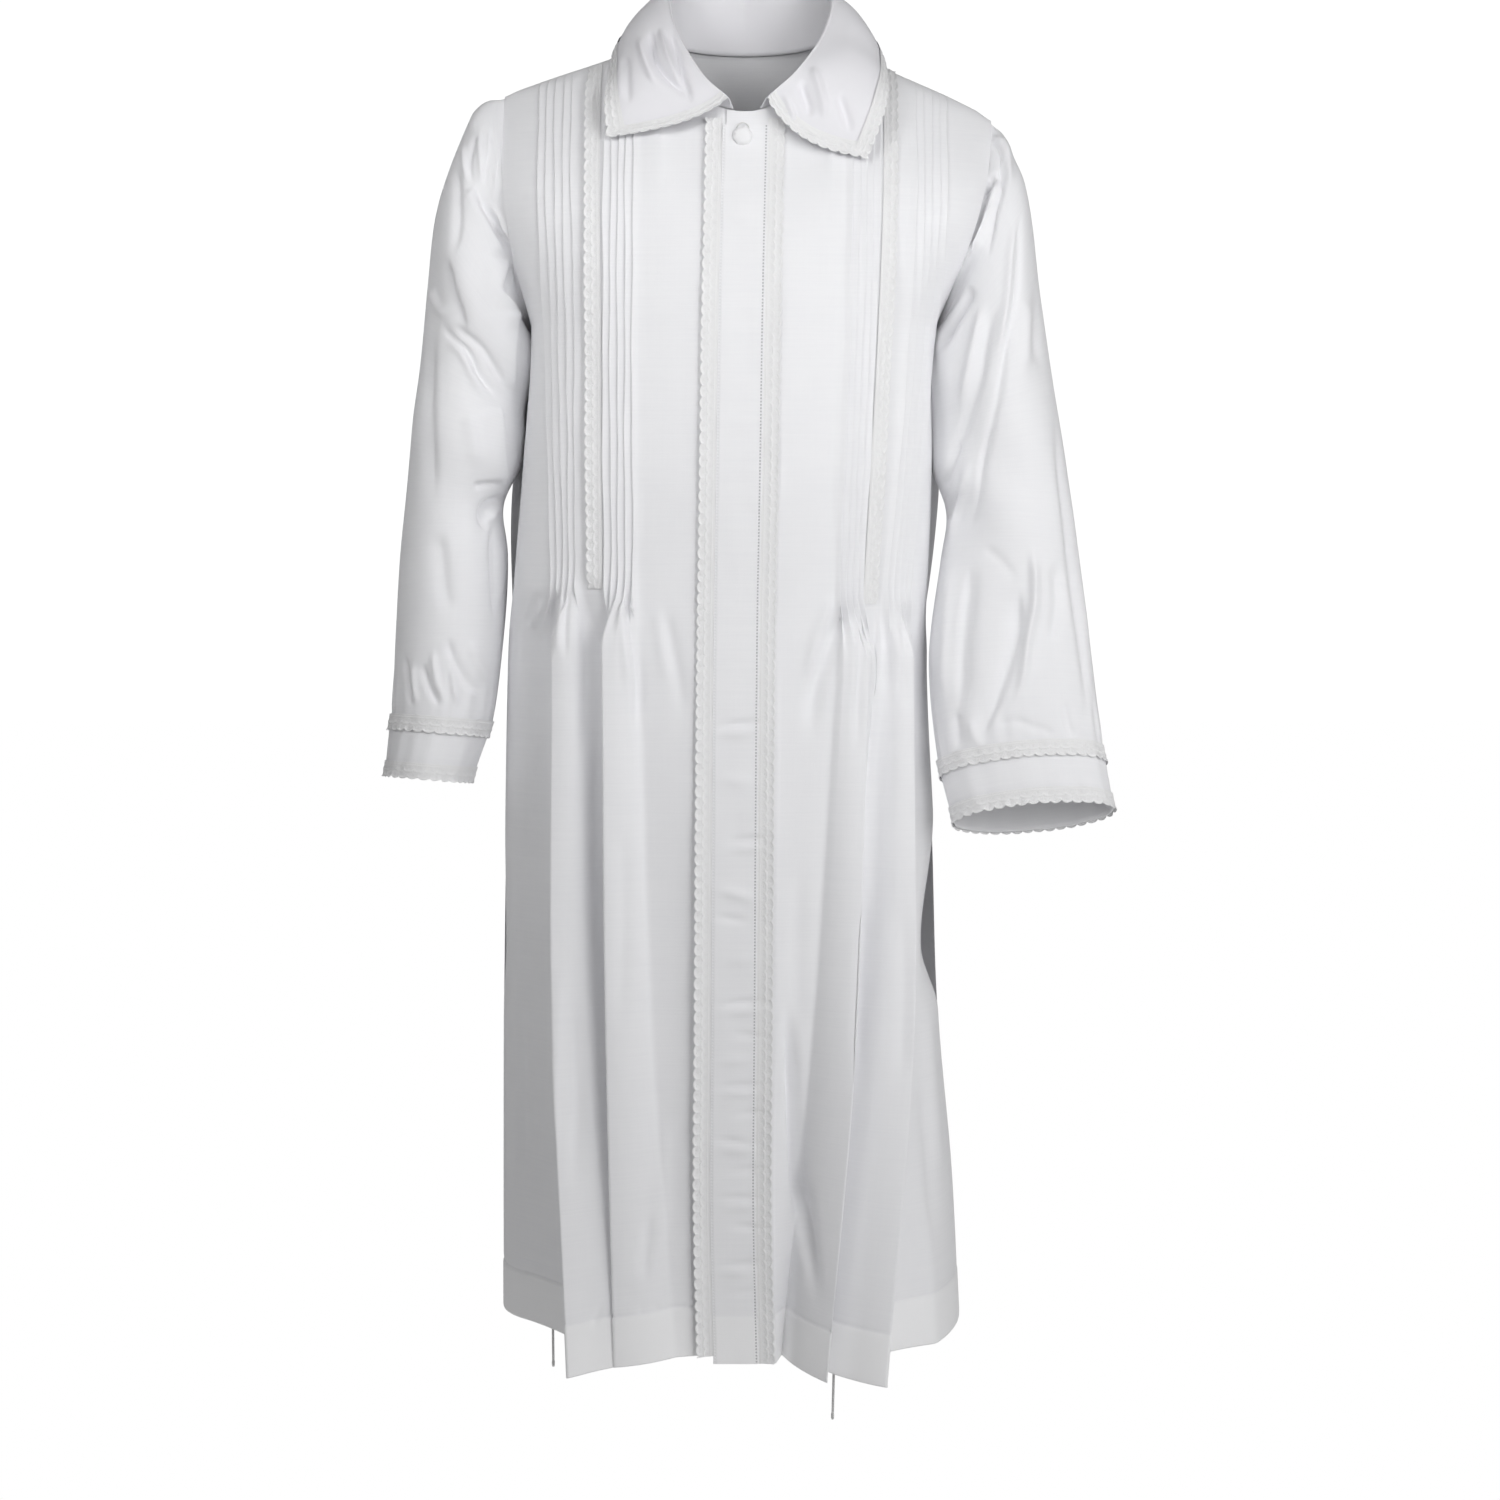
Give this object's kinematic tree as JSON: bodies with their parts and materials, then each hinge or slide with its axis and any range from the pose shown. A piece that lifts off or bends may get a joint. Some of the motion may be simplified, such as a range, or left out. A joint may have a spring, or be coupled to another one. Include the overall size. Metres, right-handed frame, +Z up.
{
  "type": "white kittel robe worn open at neck, cuffs and hem",
  "caption": "White knee-length kittel: tucked fronts with lace bands, wide pointed lace-edged collar, covered-button placket, knife pleats and banded lace cuffs.",
  "frame": {"origin": "middle of the neck opening, where the wearer's neck and shoulders hold the robe", "axes": "+Z up along the wearer, +Y to the wearer's back, -X to the wearer's right"},
  "size_m": [0.6829, 0.3324, 1.3391],
  "materials": {
    "cloth": "matte, thin and slightly translucent",
    "lace": "matte",
    "covered_button": "satin",
    "cord": "matte"
  },
  "bodies": {
    "root": {"front_right": "cloth", "front_left": "cloth", "back": "cloth", "placket": "cloth", "sleeve_right": "cloth", "sleeve_left": "cloth", "cuff_right": "cloth", "cuff_left": "cloth", "collar": "cloth", "collar_stand": "cloth", "placket_lace_right": "lace", "placket_lace_left": "lace", "tuck_lace_right": "lace", "tuck_lace_left": "lace", "cuff_lace_upper_right": "lace", "cuff_lace_lower_right": "lace", "cuff_lace_upper_left": "lace", "cuff_lace_lower_left": "lace", "collar_lace": "lace", "button": "covered_button", "tie_cord_right": "cord", "tie_cord_left": "cord"}
  },
  "joints": []
}
